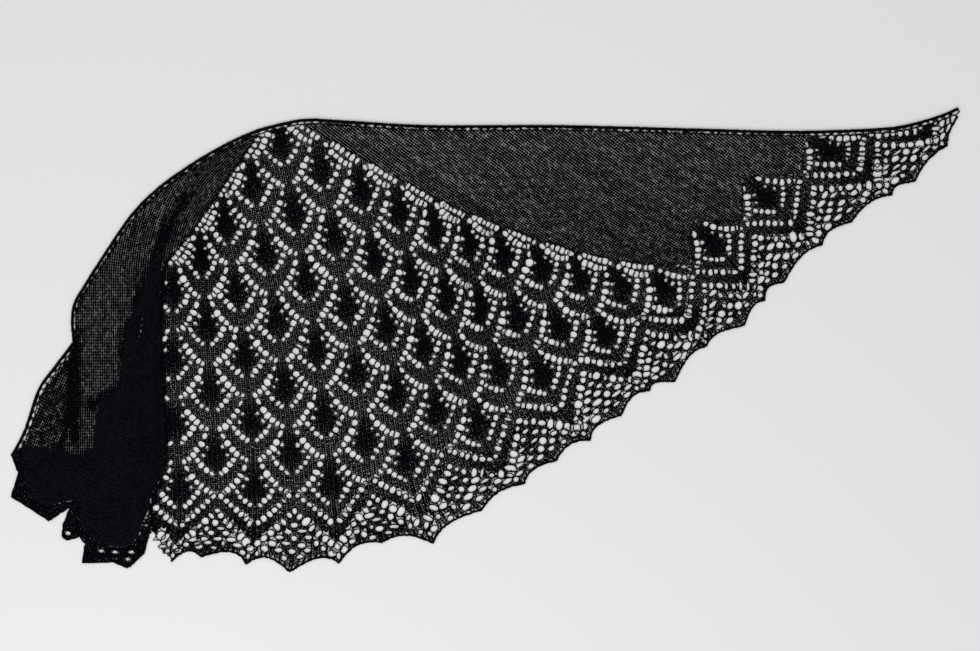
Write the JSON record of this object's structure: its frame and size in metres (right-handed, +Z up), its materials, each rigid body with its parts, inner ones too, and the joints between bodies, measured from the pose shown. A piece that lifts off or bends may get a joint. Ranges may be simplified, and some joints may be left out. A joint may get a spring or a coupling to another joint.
{
  "type": "knitted lace shawl",
  "caption": "Wide curved triangular knitted lace shawl laid flat, with a leaf lattice, a pointed hem and one end gathered into folds.",
  "frame": {"origin": "middle of the laid-out shawl's bounding box, on the surface that it lies on", "axes": "+X towards the flat right tip, +Y towards the neck edge, +Z up from the surface"},
  "size_m": [1.327, 0.6496, 0.0183],
  "materials": {
    "border": "matt black wool, knitted firm",
    "wing": "matt black wool in fine stocking stitch",
    "panel": "matt black wool in open leaf lace",
    "edging": "matt black wool in open net lace",
    "tip": "matt black wool in open net lace",
    "fold": "matt black wool in fine stocking stitch",
    "flap": "matt black wool in fine stocking stitch",
    "gather": "matt black wool lace in several layers",
    "end": "matt black wool in open net lace"
  },
  "bodies": {
    "root": {"neck_border": "border", "right_wing": "wing", "centre_panel": "panel", "centre_edging": "edging", "wing_edging": "tip", "left_wing": "fold", "under_flap": "flap", "left_gather": "gather", "left_edging": "end"}
  },
  "joints": []
}
